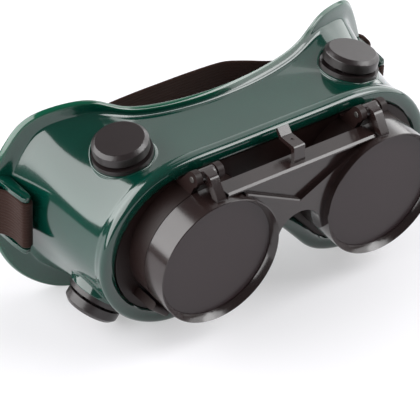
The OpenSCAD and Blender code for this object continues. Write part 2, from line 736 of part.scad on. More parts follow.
// Upright band of the strap's width and thickness along a plan
module band(plan) {
    path = open_curve(plan);
    n = len(path);
    points = [for (i = [0 : n - 1])
        let (d = path[min(i + 1, n - 1)] - path[max(i - 1, 0)],
            side = [-d[1], d[0]] / norm(d) * strap_t / 2,
            z = lift_at(path[i]) - strap_z)
        each [for (c = [[1, -1], [1, 1], [-1, 1], [-1, -1]])
            [path[i][0] + c[0] * side[0], path[i][1] + c[0] * side[1], z + c[1] * strap_w / 2]]];
    faces = concat([[0, 1, 2], [0, 2, 3]],
        [for (i = [0 : n - 2]) for (j = [0 : 3])
            let (a = 4 * i + j, b = 4 * i + (j + 1) % 4)
            each [[a, a + 4, b], [b, a + 4, b + 4]]],
        [[4 * n - 4, 4 * n - 2, 4 * n - 3], [4 * n - 4, 4 * n - 1, 4 * n - 2]]);
    polyhedron(points, faces, convexity = 6);
}

module strap_left() {
    placed(strap_brown) band(left_plan);
}

module strap_right() {
    placed(strap_brown) band(right_plan);
}

module strap_slide() {
    room = [slide_len + 2, strap_t + layer_pitch + 0.6, strap_w + 0.8];
    shell = [slide_len, room[1] + 2 * slide_wall, room[2] + 2 * slide_wall + 0.6];
    middle = (run_from + run_to) / 2 + layer_pitch / 2 * run_out;
    placed(frame_black) translate([middle[0], middle[1], -strap_z])
        rotate([0, 0, atan2(run_dir[1], run_dir[0])]) difference() {
            cube(shell, center = true);
            cube(room, center = true);
            for (s = [-1, 1]) translate([s * slide_len / 4, shell[1] / 2, 0])
                cube([slide_len / 2 - 4, shell[1], strap_w - 2], center = true);
        }
}

module clear_lens(side) {
    lens(lens_r, clear_y, clear_t, clear_tint, side);
}

module shade_lens(side) {
    lens(lens_r, bezel_depth + fit_gap, shade_t, shade_dark, side);
}

module clear_lens_ring(side) {
    lens_ring(clear_ring_y, ring_depth, ring_w, true, frame_black, side);
}

module shade_lens_ring(side) {
    lens_ring(bezel_depth + shade_t + 2 * fit_gap, ring_depth, ring_w, true, frame_black, side);
}

module lens_gasket(side) {
    lens_ring(gasket_y, gasket_t, ring_w, false, gasket_grey, side);
}

goggle_body();
lens_frame();
clear_lens("left");  // clear_lens_left
clear_lens("right");  // clear_lens_right
clear_lens_ring("left");  // clear_lens_ring_left
clear_lens_ring("right");  // clear_lens_ring_right
lens_gasket("left");  // lens_gasket_left
lens_gasket("right");  // lens_gasket_right
lift_front();
shade_lens("left");  // shade_lens_left
shade_lens("right");  // shade_lens_right
shade_lens_ring("left");  // shade_lens_ring_left
shade_lens_ring("right");  // shade_lens_ring_right
hinge_pin("left");  // hinge_pin_left
hinge_pin("right");  // hinge_pin_right
vent_cap("top", "left");  // vent_cap_top_left
vent_cap("top", "right");  // vent_cap_top_right
vent_cap("bottom", "left");  // vent_cap_bottom_left
vent_cap("bottom", "right");  // vent_cap_bottom_right
vent_seat("top", "left");  // vent_seat_top_left
vent_seat("top", "right");  // vent_seat_top_right
vent_seat("bottom", "left");  // vent_seat_bottom_left
vent_seat("bottom", "right");  // vent_seat_bottom_right
vent_baffle("top", "left");  // vent_baffle_top_left
vent_baffle("top", "right");  // vent_baffle_top_right
vent_baffle("bottom", "left");  // vent_baffle_bottom_left
vent_baffle("bottom", "right");  // vent_baffle_bottom_right
strap_left();
strap_right();
strap_slide();
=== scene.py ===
import bmesh
import bpy
import json
import math
import numpy as np
from mathutils import Matrix, Quaternion, Vector
from mathutils.bvhtree import BVHTree


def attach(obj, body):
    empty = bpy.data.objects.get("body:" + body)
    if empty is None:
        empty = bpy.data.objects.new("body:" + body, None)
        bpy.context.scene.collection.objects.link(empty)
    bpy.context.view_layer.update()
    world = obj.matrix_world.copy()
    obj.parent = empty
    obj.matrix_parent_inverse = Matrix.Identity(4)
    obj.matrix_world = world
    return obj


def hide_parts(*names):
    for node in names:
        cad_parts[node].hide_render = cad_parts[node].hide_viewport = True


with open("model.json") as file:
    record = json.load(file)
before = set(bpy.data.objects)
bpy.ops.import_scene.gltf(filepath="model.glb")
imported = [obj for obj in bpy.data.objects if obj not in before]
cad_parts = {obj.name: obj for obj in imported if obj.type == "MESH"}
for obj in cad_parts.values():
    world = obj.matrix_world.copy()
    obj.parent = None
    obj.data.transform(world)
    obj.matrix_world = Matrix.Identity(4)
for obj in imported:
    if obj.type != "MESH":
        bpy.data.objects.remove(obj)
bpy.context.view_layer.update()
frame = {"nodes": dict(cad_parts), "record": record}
nodes = frame["nodes"]
scene = bpy.context.scene

# everything is drawn in mm in the wearer's frame, x to the right, y back from the front and z up from
# the lens centres, and is then leaned and set on the floor as the CAD has it
stand = {"lean": 5.0310904, "floor": -36.932883, "middle": 46.524748}  # degrees, then mm once leaned
lean = math.radians(stand["lean"])
turn = np.array([[1, 0, 0], [0, math.cos(lean), -math.sin(lean)], [0, math.sin(lean), math.cos(lean)]])
shift = np.array([0, -stand["middle"], -stand["floor"]])


def place(points):
    return (np.asarray(points, float) @ turn.T + shift) * 0.001


def placeMesh(mesh, lowest=None):
    flat = np.zeros(len(mesh.vertices) * 3)
    mesh.vertices.foreach_get("co", flat)
    spots = place(flat.reshape(-1, 3))
    if lowest is not None:
        spots[:, 2] = np.maximum(spots[:, 2], lowest)
    mesh.vertices.foreach_set("co", spots.ravel())
    mesh.update()


def newObject(name, mesh):
    thing = bpy.data.objects.new(name, mesh)
    scene.collection.objects.link(thing)
    return thing


def newMesh(name, points, faces, smooth=True):
    mesh = bpy.data.meshes.new(name)
    mesh.from_pydata([tuple(p) for p in points], [], [tuple(f) for f in faces])
    mesh.polygons.foreach_set("use_smooth", [smooth] * len(mesh.polygons))
    mesh.update()
    return newObject(name, mesh)


# quads between rings of points, each ring closed, and the last ring joined to the first
def ringFaces(rows, columns):
    faces = []
    for i in range(rows):
        k = (i + 1) % rows
        for j in range(columns):
            m = (j + 1) % columns
            faces.append((i * columns + j, k * columns + j, k * columns + m, i * columns + m))
    return faces


# a smooth curve through key points, or a smooth skin through key rings
def curveThrough(keys, steps, closed=False):
    keys = np.asarray(keys, float)
    n = len(keys)
    t = (np.arange(steps) / steps).reshape([-1] + [1] * (keys.ndim - 1))
    parts = []
    for i in range(n if closed else n - 1):
        b = keys[i]
        c = keys[(i + 1) % n]
        a = keys[(i - 1) % n] if closed or i > 0 else 2 * b - c
        d = keys[(i + 2) % n] if closed or i < n - 2 else 2 * c - b
        parts.append(0.5 * (2 * b + (c - a) * t + (2 * a - 5 * b + 4 * c - d) * t ** 2
                            + (3 * b - a - 3 * c + d) * t ** 3))
    return np.concatenate(parts + ([] if closed else [keys[-1:]]))


def softened(ring, times):
    for _ in range(times):
        ring = (np.roll(ring, 1, 0) + 2 * ring + np.roll(ring, -1, 0)) / 4
    return ring


def arc(x, y, r, start, end, steps):
    return [(x + r * math.cos(math.radians(a)), y + r * math.sin(math.radians(a)))
            for a in np.linspace(start, end, steps + 1)]


# 0 to 1 with soft ends
def ease(t):
    t = np.clip(t, 0, 1)
    return t * t * (3 - 2 * t)


def finalMesh(thing):
    mesh = bpy.data.meshes.new_from_object(thing.evaluated_get(bpy.context.evaluated_depsgraph_get()))
    thing.modifiers.clear()
    old = thing.data
    thing.data = mesh
    if old.users == 0:
        bpy.data.meshes.remove(old)
    return thing


def cut(thing, cutter):
    modifier = thing.modifiers.new("cut", "BOOLEAN")
    modifier.operation = "DIFFERENCE"
    modifier.solver = "EXACT"
    modifier.object = cutter
    finalMesh(thing)
    bpy.data.objects.remove(cutter)


def bevel(thing, width, angle=30):
    modifier = thing.modifiers.new("edges", "BEVEL")
    modifier.width = width
    modifier.segments = 2
    modifier.limit_method = "ANGLE"
    modifier.angle_limit = math.radians(angle)
    modifier.harden_normals = True
    return finalMesh(thing)


def sharpBy(thing, angle):
    mesh = thing.data
    mesh.polygons.foreach_set("use_smooth", [True] * len(mesh.polygons))
    mesh.set_sharp_from_angle(angle=math.radians(angle))


def join(things, name):
    target = things[0]
    with bpy.context.temp_override(active_object=target, selected_editable_objects=things,
                                   selected_objects=things):
        bpy.ops.object.join()
    target.name = name
    target.data.name = name
    return target


# a socket of a shader or geometry tree: sums written with it become Math nodes
class Signal:
    def __init__(self, tree, socket=None):
        self.tree = tree
        self.socket = socket

    # any node: its settings first, then its sockets, by name or number, from signals and values
    def node(self, kind, inputs=(), output=0, **settings):
        made = self.tree.nodes.new(kind)
        for key, value in settings.items():
            setattr(made, key, value)
        for key, value in dict(inputs).items():
            if isinstance(value, Signal):
                self.tree.links.new(value.socket, made.inputs[key])
            else:
                made.inputs[key].default_value = value
        return Signal(self.tree, made.outputs[output])

    def calculate(self, operation, *values, clamp=False):
        return self.node("ShaderNodeMath", enumerate(values), operation=operation, use_clamp=clamp)

    def math(self, operation, *others, clamp=False):
        return self.calculate(operation, self, *others, clamp=clamp)

    def __add__(self, other):
        return self.calculate("ADD", self, other)

    def __radd__(self, other):
        return self.calculate("ADD", other, self)

    def __sub__(self, other):
        return self.calculate("SUBTRACT", self, other)

    def __rsub__(self, other):
        return self.calculate("SUBTRACT", other, self)

    def __mul__(self, other):
        return self.calculate("MULTIPLY", self, other)

    def __rmul__(self, other):
        return self.calculate("MULTIPLY", other, self)

    def __truediv__(self, other):
        return self.calculate("DIVIDE", self, other)

    def __rtruediv__(self, other):
        return self.calculate("DIVIDE", other, self)

    # from the first colour to the second, on the Mix node's colour sockets
    def mix(self, first, second):
        return self.node("ShaderNodeMix", {0: self, 6: first, 7: second}, output=2, data_type="RGBA")

    def noise(self, scale, detail):
        return self.node("ShaderNodeTexNoise", {"Vector": self, "Scale": scale, "Detail": detail})

    def bump(self, strength, distance, under=None):
        inputs = {"Height": self, "Strength": strength, "Distance": distance}
        if under:
            inputs["Normal"] = under
        return self.node("ShaderNodeBump", inputs)


# a material with one Principled shader
class Surface:
    def __init__(self, name, **constants):
        self.material = bpy.data.materials.new(name)
        self.material.use_nodes = True
        self.tree = self.material.node_tree
        self.shader = self.tree.nodes["Principled BSDF"]
        for key, value in constants.items():
            self.shader.inputs[key.replace("_", " ")].default_value = value
        self.start = Signal(self.tree)
        self.spot = self.start.node("ShaderNodeTexCoord", output="Object")

    def attribute(self, name):
        return self.start.node("ShaderNodeAttribute", output="Fac", attribute_name=name)

    def set(self, **signals):
        for key, signal in signals.items():
            self.tree.links.new(signal.socket, self.shader.inputs[key.replace("_", " ")])
        return self.material


def hexColour(code):
    parts = [int(code[i:i + 2], 16) / 255 for i in (0, 2, 4)]
    return tuple(p / 12.92 if p <= 0.04045 else ((p + 0.055) / 1.055) ** 2.4 for p in parts) + (1.0,)


maskLook = {"deep": "013026", "worn": "053c30", "thin": "004a34", "rough": 0.1, "gloss": 0.55}


# glossy soft PVC, a little cloudy, lighter where its edge is thin
def maskMaterial():
    s = Surface("mask_pvc", Coat_Weight=0.5, Coat_Roughness=0.04, Subsurface_Weight=0.03,
                Subsurface_Scale=0.004, Specular_IOR_Level=maskLook["gloss"])
    cloudy = s.spot.noise(45, 2).math("SUBTRACT", 0.3, clamp=True)
    body = cloudy.mix(hexColour(maskLook["deep"]), hexColour(maskLook["worn"]))
    colour = s.attribute("thin").mix(body, hexColour(maskLook["thin"]))
    wave = s.spot.noise(38, 1).bump(0.25, 0.0006)
    return s.set(Base_Color=colour, Roughness=maskLook["rough"] + 0.06 * s.spot.noise(120, 3),
                 Normal=s.spot.noise(900, 2).bump(0.06, 0.00008, wave))


plastics = {
    "frame": {"name": "frame_plastic", "tints": ("190c0a", "211210"), "rough": 0.42, "gloss": 0.3,
              "grainSize": 420, "grainDepth": 0.00008},
    "lift": {"name": "lift_plastic", "tints": ("1e1413", "281d1c"), "rough": 0.16, "coat": 0.3,
             "grain": 0.15, "grainSize": 420, "grainDepth": 0.00004},
    "vent": {"name": "vent_plastic", "tints": ("1c1415", "262020"), "rough": 0.3, "coat": 0.12,
             "grain": 0.2, "grainSize": 900, "grainDepth": 0.00004},
    "ring": {"name": "ring_plastic", "tints": ("1c1718", "252021"), "rough": 0.42},
    "slide": {"name": "slide_plastic", "tints": ("1c1a1a", "262424"), "rough": 0.45},
}


def plasticMaterial(name, tints, rough, coat=0.0, gloss=0.5, grain=0.25, grainSize=700, grainDepth=0.00006):
    s = Surface(name, Coat_Weight=coat, Coat_Roughness=0.12, Specular_IOR_Level=gloss)
    return s.set(Base_Color=s.spot.noise(60, 3).mix(hexColour(tints[0]), hexColour(tints[1])),
                 Roughness=rough + 0.08 * s.spot.noise(200, 3),
                 Normal=s.spot.noise(grainSize, 2).bump(grain, grainDepth))


def darkLensMaterial():
    s = Surface("shade_lens", Specular_IOR_Level=0.4)
    return s.set(Base_Color=s.spot.noise(40, 2).mix(hexColour("261b1d"), hexColour("2c2123")),
                 Roughness=0.2 + 0.05 * s.spot.noise(150, 2), Normal=s.spot.noise(30, 1).bump(0.05, 0.0002))


def clearLensMaterial():
    s = Surface("clear_lens", Transmission_Weight=1.0, IOR=1.45)
    return s.set(Base_Color=s.spot.noise(30, 1).mix((0.9, 0.95, 0.94, 1), (0.94, 0.97, 0.96, 1)),
                 Roughness=0.02 + 0.02 * s.spot.noise(200, 2))


def steelMaterial():
    s = Surface("pin_steel", Metallic=1.0)
    return s.set(Base_Color=s.spot.noise(400, 2).mix((0.13, 0.125, 0.12, 1), (0.19, 0.18, 0.17, 1)),
                 Roughness=0.42 + 0.1 * s.spot.noise(900, 2))


weaveLook = {"dark": "1c0e0a", "light": "38221a", "warp": 0.0009, "weft": 0.0011}  # colours, threads in m


def strapMaterial():
    s = Surface("strap_elastic", Specular_IOR_Level=0.15, Sheen_Weight=0.08)
    warp = (s.attribute("weaveAcross") * (2 * math.pi / weaveLook["warp"])).math("SINE")
    weft = (s.attribute("weaveAlong") * (2 * math.pi / weaveLook["weft"])).math("SINE")
    weave = warp * weft * 0.5 + 0.5
    fuzz = s.spot.noise(2500, 3)
    colour = (weave * 0.6 + fuzz * 0.4).mix(hexColour(weaveLook["dark"]), hexColour(weaveLook["light"]))
    return s.set(Base_Color=colour, Roughness=0.8 + 0.1 * fuzz, Normal=(weave + 0.5 * fuzz).bump(0.6, 0.0002))


def gasketMaterial():
    s = Surface("gasket_fibre")
    return s.set(Base_Color=s.spot.noise(500, 3).mix(hexColour("3c3c3c"), hexColour("525252")),
                 Roughness=0.85 + 0.1 * s.spot.noise(300, 2))


looks = {key: plasticMaterial(**look) for key, look in plastics.items()}
looks.update(mask=maskMaterial(), shade=darkLensMaterial(), clear=clearLensMaterial(), steel=steelMaterial(),
             strap=strapMaterial(), gasket=gasketMaterial())
print("materials ready")


def dress(thing, look, body, replaced):
    thing.data.materials.clear()
    thing.data.materials.append(looks[look])
    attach(thing, body)
    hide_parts(replaced)


# the mask: a closed skin from the opening's groove over the lip, along the wall, round the flange
# that lies on the face, and back inside; each row of points is one ring
opening = {"halfWidth": 70.8, "top": 27.3, "bottom": 33.6, "noseTop": 7, "noseHalf": 36,
           "sideAngles": (64, 38, 13, -13, -40, -66), "noseSteps": (0.75, 0.51, 0.27, 0)}
lip = {"front": 20.8, "width": 6, "depth": 5.8, "groove": 3.2, "grooveFront": 23.5, "grooveBack": 26.5,
       "keeper": 0.6}
wall = {"thick": 2.5, "neck": 28.4, "step": 1.2, "sideStep": 5.2, "browSlope": 2.0,
        "sideFlare": 1.5, "topFlare": 2.4, "bottomFlare": 1,
        "outside": (0, 0.1, 0.2, 0.33, 0.46, 0.59, 0.71, 0.82, 0.91, 0.97),
        "inside": (0.97, 0.9, 0.75, 0.55, 0.35, 0.18, 0.08, 0)}
face = {"y": 56, "r": 160, "slope": 0.04, "thick": 2.5, "browW": 3, "templeW": 6, "cheekW": 8.5, "widens": 41,
        "widening": 20, "cheekFade": 30, "half": 89.8, "brow": 32.5, "templeZ": 41, "templeX": 55.5,
        "cheekZ": 43.2, "cheekX": 65, "notch": 4}
# steps between the key points and key rings, and how the flange's edge grows thin; lowest is in m
skin = {"columns": 16, "soften": 18, "rows": 5, "thinReach": 2, "thinFull": 1.25, "lowest": 0.00002}


# a whole ring from the points of its right half, softened
def closedLoop(half):
    keys = half + [[-x, z] for x, z in half[-2:0:-1]]
    return softened(curveThrough(keys, skin["columns"], True), skin["soften"])


def outward(ring):
    d = np.roll(ring, -1, 0) - np.roll(ring, 1, 0)
    return np.stack([-d[:, 1], d[:, 0]], 1) / np.linalg.norm(d, axis=1)[:, None]


def grown(ring, by):
    return ring + np.reshape(by, (-1, 1)) * outward(ring)


def openingLoop():
    r = (opening["top"] + opening["bottom"]) / 2
    x = opening["halfWidth"] - r
    mid = opening["top"] - r
    nose = opening["noseHalf"]
    rise = (opening["bottom"] - opening["noseTop"]) / 2
    half = [[0, opening["top"]], [x / 2, opening["top"]], [x, opening["top"]]]
    for a in opening["sideAngles"]:
        half.append([x + r * math.cos(math.radians(a)), mid + r * math.sin(math.radians(a))])
    half.append([max(x, nose), -opening["bottom"]])
    for k in opening["noseSteps"]:
        half.append([k * nose, -opening["bottom"] + rise * (1 + math.cos(math.pi * k))])
    return closedLoop(half)


def flangeLoop():
    f = face
    return closedLoop([[0, f["brow"]], [24, f["brow"] + 0.6], [f["templeX"] - 15, f["templeZ"] - 6],
                       [f["templeX"], f["templeZ"]], [f["templeX"] + 19, f["templeZ"] - 5],
                       [f["half"] - 6, 22], [f["half"], 3], [f["half"] - 1.5, -18],
                       [f["cheekX"] + 15.5, -f["cheekZ"] + 8], [f["cheekX"], -f["cheekZ"]],
                       [f["cheekX"] - 19, -f["cheekZ"] + 5.4], [28, -f["notch"] - 19],
                       [12, -f["notch"] - 4.5], [0, -f["notch"]]])


def faceAt(ring):
    return (face["y"] + face["r"] - np.sqrt(face["r"] ** 2 - ring[:, 0] ** 2)
            + face["slope"] * (ring[:, 1] - face["brow"]))


def flatRing(ring, y):
    return np.stack([ring[:, 0], np.broadcast_to(y, len(ring)), ring[:, 1]], 1)


def faceRing(ring, forward):
    return flatRing(ring, faceAt(ring) - forward)


def flangeWidth(ring):
    side = face["cheekW"] + (face["templeW"] - face["cheekW"]) * ease(0.5 + ring[:, 1] / face["cheekFade"])
    return face["browW"] + (side - face["browW"]) * ease((np.abs(ring[:, 0]) - face["widens"]) / face["widening"])


def buildSkin():
    mouth = openingLoop()
    rim = flangeLoop()
    root = grown(rim, -flangeWidth(rim))
    rootIn = grown(root, -wall["thick"])
    up = outward(mouth)[:, 1]
    flare = np.where(up > 0, wall["topFlare"], wall["bottomFlare"])
    power = wall["sideFlare"] + (flare - wall["sideFlare"]) * up ** 2

    # stands further out from the opening at the sides than at the top and bottom
    def stepped(top, side):
        return grown(mouth, side + (top - side) * up ** 12)

    # between the neck behind the lip and the face, at a share s of the way
    def wallRing(a, b, forward, s):
        flat = a + (b - a) * (s ** power)[:, None]
        return flatRing(flat, wall["neck"] + (faceAt(b) - forward - wall["neck"]) * s)

    w = lip["width"]
    out = wall["sideStep"]
    lipRows = ((0, 0, 1.2), (1, 1, 0.3), (w / 2, w / 2, 0), (w - 1, w - 1, 0.5), (w, w - 0.1, 2),
               (w, (w + out) / 2, lip["depth"] - 1.5), (w - 1, out + 0.2, lip["depth"]),
               (wall["step"] + 0.8, out + 0.1, wall["neck"] - 1.3 - lip["front"]))
    rings = [flatRing(stepped(top, side), lip["front"] + behind) for top, side, behind in lipRows]
    neckOut = stepped(wall["step"], out)
    rings += [wallRing(neckOut, root, face["thick"], s) for s in wall["outside"]]
    first = len(rings)
    thick = face["thick"]
    # over the brow the front of the flange slopes back to its edge
    slope = wall["browSlope"] * ease((outward(rim)[:, 1] - 0.2) / 0.5) * ease((rim[:, 0] + 30) / 50)
    rings += [faceRing(grown(root, 0.7), thick), faceRing(grown(rim, -1.6), thick - 0.3 * slope),
              faceRing(grown(rim, -0.6), thick - 0.65 * slope), faceRing(rim, thick * 0.6 - 0.4 * slope),
              faceRing(rim, thick * 0.25), faceRing(grown(rim, -0.6), 0), faceRing(grown(rim, -1.6), 0)]
    last = len(rings)
    neckIn = stepped(wall["step"] - wall["thick"], out - wall["thick"])
    rings += [wallRing(neckIn, rootIn, 0, s) for s in wall["inside"]]
    rows = curveThrough(rings, skin["rows"])
    # the groove that holds the lens frame stays sharp
    keeper = grown(mouth, wall["step"] - wall["thick"] - lip["keeper"])
    groove = grown(mouth, lip["groove"])
    rows = np.concatenate([rows, [flatRing(keeper, wall["neck"] - 0.3), flatRing(keeper, lip["grooveBack"]),
                                  flatRing(groove, lip["grooveBack"]), flatRing(groove, lip["grooveFront"]),
                                  flatRing(mouth, lip["grooveFront"])]])
    # 1 at the flange's thin edge, and 0 from a few rows away
    middle = (first + last - 1) / 2 * skin["rows"]
    away = np.abs(np.arange(len(rows)) - middle) / (skin["thinReach"] * skin["rows"])
    return rows, np.clip(skin["thinFull"] - away, 0, 1)


skinRows, skinThin = buildSkin()
rowCount, columnCount = skinRows.shape[:2]
skinFaces = ringFaces(rowCount, columnCount)
skinPoints = skinRows.reshape(-1, 3)
skinTree = BVHTree.FromPolygons([tuple(p) for p in skinPoints], skinFaces)
mask = newMesh("mask_skin", skinPoints, skinFaces)
thinValues = mask.data.attributes.new("thin", "FLOAT", "POINT").data
thinValues.foreach_set("value", np.repeat(skinThin, columnCount).astype(np.float32))
print("mask skin", len(skinFaces), "quads")

# the bosses that hold the vents: each is drawn around its own axis, from its rim at height 0 down
vents = {"top": {"at": (52.9, 43.7, 27.9), "tilt": 11.5}, "bottom": {"at": (65.7, 39.2, -27.7), "tilt": 145}}
boss = {"r": 12.4, "bore": 8.4, "depth": 9, "round": 0.4, "chamfer": 0.3, "segments": 96}
hole = {"r": 10.5, "wide": 12, "low": -13, "high": 9, "axis": 0.001, "reach": 26}  # through the wall
fillet = {"size": 0.9, "least": 0.15, "clear": 0.2, "steps": 7, "proud": 0.012, "sunk": 0.4, "inside": 0.6,
          "soften": 3}


def ventPoints(level, side, local):
    tilt = math.radians(vents[level]["tilt"])
    x, y, z = np.moveaxis(np.asarray(local, float), -1, 0)
    turned = [x * math.cos(tilt) + z * math.sin(tilt), y, z * math.cos(tilt) - x * math.sin(tilt)]
    return (np.stack(turned, -1) + vents[level]["at"]) * (side, 1, 1)


def around(side):
    return side * np.arange(boss["segments"]) * 2 * math.pi / boss["segments"]


def lathe(name, profile, level, side):
    local = [[(r * math.cos(a), r * math.sin(a), z) for a in around(side)] for r, z in profile]
    faces = [f[::-1] for f in ringFaces(len(profile), boss["segments"])]
    return newMesh(name, ventPoints(level, side, local).reshape(-1, 3), faces)


# how high the mask's wall stands along a vent's axis, at a radius and an angle from it
def wallHeight(level, side, r, angle):
    start, end = (ventPoints(level, side, (r * math.cos(angle), r * math.sin(angle), z))
                  for z in (hole["high"], 0))
    hit = skinTree.ray_cast(Vector(start), Vector(end - start).normalized(), hole["reach"])
    return hole["high"] - hit[3] if hit[0] is not None else hole["low"]


def bossFillet(level, side):
    steps = fillet["steps"]
    rows = [[] for _ in range(steps + 4)]
    for a in around(side):
        low = wallHeight(level, side, boss["r"], a)
        size = min(max(-low - boss["round"] - fillet["clear"], fillet["least"]), fillet["size"])
        ring = []
        for k in range(steps + 1):
            r = boss["r"] + size * k / steps
            over = size * (1 - math.sqrt(1 - (1 - k / steps) ** 2))
            ring.append((r, wallHeight(level, side, r, a) + over + fillet["proud"]))
        ring += [(r, wallHeight(level, side, r, a) - fillet["sunk"]),
                 (boss["r"] - fillet["inside"], low - fillet["inside"]),
                 (boss["r"] - fillet["inside"], low + size + fillet["proud"])]
        for row, (r, z) in zip(rows, ring):
            row.append((r * math.cos(a), r * math.sin(a), z))
    local = np.array([softened(np.array(row), fillet["soften"]) for row in rows])
    return newMesh("boss_fillet", ventPoints(level, side, local).reshape(-1, 3),
                   ringFaces(len(rows), boss["segments"]))


maskParts = [mask]
for level in vents:
    for side in (-1, 1):
        profile = [(hole["axis"], hole["low"]), (hole["r"], hole["low"]), (hole["r"], 0), (hole["wide"], 0),
                   (hole["wide"], hole["high"]), (hole["axis"], hole["high"])]
        cut(mask, lathe("cutter", profile, level, side))
        profile = [(boss["bore"], -boss["depth"]), (boss["r"], -boss["depth"])]
        profile += arc(boss["r"] - boss["round"], -boss["round"], boss["round"], 0, 90, 5)
        profile += [(boss["bore"] + boss["chamfer"], 0), (boss["bore"], -boss["chamfer"])]
        maskParts.append(lathe("boss", profile, level, side))
        maskParts.append(bossFillet(level, side))
print("vent bosses ready")

# a strap loop at each side: two arms that reach round the wall, with a post between them
loops = {"armT": 2, "top": 8.8, "bottom": -13.0, "postX": 84.0, "postY": (61.65, 63.55), "postR": 1.05,
         "arm": ((87.6, 78.9), (87, 67), (86.2, 60.9), (85.3, 59.5), (83.8, 59.4), (82.7, 60.4),
                 (82.4, 62.3), (82.5, 75.8)), "rounding": 0.3, "sharp": 40}


def prism(name, outline, low, high, side):
    n = len(outline)
    points = [(x * side, y, z) for z in (low, high) for x, y in outline]
    faces = [tuple(range(n))[::-1], tuple(range(n, 2 * n))]
    faces += [(i, (i + 1) % n, n + (i + 1) % n, n + i) for i in range(n)]
    if side < 0:
        faces = [f[::-1] for f in faces]
    return newMesh(name, points, faces, False)


for side in (-1, 1):
    parts = [bevel(prism("arm", loops["arm"], z, z + loops["armT"], side), loops["rounding"])
             for z in (loops["top"], loops["bottom"] - loops["armT"])]
    post = arc(loops["postX"], loops["postY"][1], loops["postR"], 0, 180, 12)
    post += arc(loops["postX"], loops["postY"][0], loops["postR"], 180, 360, 12)
    parts.append(prism("post", post, loops["bottom"] - 1, loops["top"] + 1, side))
    for part in parts:
        sharpBy(part, loops["sharp"])
    maskParts += parts

mask = join(maskParts, "mask_shell")
placeMesh(mask.data, skin["lowest"])  # the lip and the cheek lobes are pressed flat where they stand
dress(mask, "mask", "mask", "goggle_body")
print("mask ready", len(mask.data.polygons), "faces")

# the hard pieces are copies of the CAD meshes with their edges rounded, at a width in mm
hardPieces = {
    "lens_frame": {"width": 0.25, "look": "frame", "slot": "frame_plastic"},
    "lift_front": {"width": 0.4, "look": "lift", "slot": "frame_plastic"},
    "shade_lens_ring": {"width": 0.15, "look": "ring", "slot": "ring_plastic"},
    "clear_lens_ring": {"width": 0.15, "look": "ring", "slot": "ring_plastic"},
    "vent_cap": {"width": 0.25, "look": "vent", "slot": "vent_plastic"},
    "vent_seat": {"width": 0.2, "look": "vent", "slot": "vent_plastic"},
    "vent_baffle": {"width": 0.2, "look": "vent", "slot": "vent_plastic"},
    "hinge_pin": {"width": 0.2, "look": "steel", "slot": "pin_steel"},
    "strap_slide": {"width": 0.3, "look": "slide", "slot": "slide_plastic"},
}
plainPieces = {"shade_lens": "shade", "clear_lens": "clear", "lens_gasket": "gasket"}  # only given a look
# doubles in m, then the angles in degrees up to which faces are one plane and past which edges are
# rounded or stay sharp, and how much large faces count in the shading
edge = {"merge": 2e-6, "plane": 0.6, "angle": 35, "sharp": 50, "weight": 80}

# front edges of the lifting front that are broken at 45 degrees: the shelf's and the two of the V
broken = {"face": 3, "over": 0.4, "edges": (((-33.9, 27.4), (33.9, 27.4), 0.8), ((-25, 23.74), (0, 11), 0.5),
                                            ((0, 11), (25, 23.74), 0.5))}


def edgeCutter(start, end, size):
    a = np.array(start)
    b = np.array(end)
    d = (b - a) / np.linalg.norm(b - a)
    above = np.array([-d[1], d[0]])
    over = broken["over"]
    points = []
    for p in (a, b):
        for u, v in ((-over, -size - over), (size + over, over), (-over, over)):
            x, z = p + above * v
            points.append((x, broken["face"] + u, z))
    faces = [(2, 1, 0), (3, 4, 5), (0, 1, 4, 3), (1, 2, 5, 4), (2, 0, 3, 5)]
    return newMesh("cutter", place(points), faces, False)


# merges the loose triangles, and those that lie in one plane within an angle
def cleaned(thing, plane=None):
    bm = bmesh.new()
    bm.from_mesh(thing.data)
    bmesh.ops.remove_doubles(bm, verts=bm.verts, dist=edge["merge"])
    if plane:
        bmesh.ops.dissolve_limit(bm, angle_limit=math.radians(plane), verts=bm.verts, edges=bm.edges)
    bm.to_mesh(thing.data)
    bm.free()
    return thing


def roundedCopy(node, width):
    thing = cleaned(newObject(node + "_piece", nodes[node].data.copy()))
    if node == "lift_front":
        for start, end, size in broken["edges"]:
            cut(thing, edgeCutter(start, end, size))
    bevel(cleaned(thing, edge["plane"]), width * 0.001, edge["angle"])
    sharpBy(thing, edge["sharp"])
    flatter = thing.modifiers.new("flatter", "WEIGHTED_NORMAL")
    flatter.weight = edge["weight"]
    flatter.keep_sharp = True
    return finalMesh(thing)


def kindOf(node):
    for word in ("_top", "_bottom", "_left", "_right"):
        node = node.replace(word, "")
    return node


bodyOf = {n: b for b, members in frame["record"]["behaviour"]["bodies"].items() for n in members}
for node in sorted(nodes):
    piece = hardPieces.get(kindOf(node))
    if piece:
        dress(roundedCopy(node, piece["width"]), piece["look"], bodyOf[node], node)
    elif kindOf(node) in plainPieces:
        nodes[node].data.materials.clear()
        nodes[node].data.materials.append(looks[plainPieces[kindOf(node)]])
print("hard pieces ready")

# the strap: each band folds round its post, runs back and lies on the other one behind the right side
strap = {"width": 21.0, "thick": 1.3, "middle": -2.1, "rise": 3.6, "backY": 94.3, "pitch": 1.55, "ribs": 15,
         "ribHeight": 0.12, "steps": 6, "around": 160, "slack": 0.2}
# the stretches of its middle line, seen from above
strapRun = {"tail": [(85.35, 71.6), (84.5, 69.6), (83, 67.2)],
            "side": [(86.6, 70), (88.5, 73.3), (91.2, 76.4), (92, 79.3)],
            "corner": [(91.5, 82.3), (88.4, 84.4)], "outerCorner": [(92, 82.9), (89, 85.6)],
            "straight": ((82, 84.2), (58, 84.8)), "back": [(47, 86.8), (36, 90.7), (28, 93.3)]}


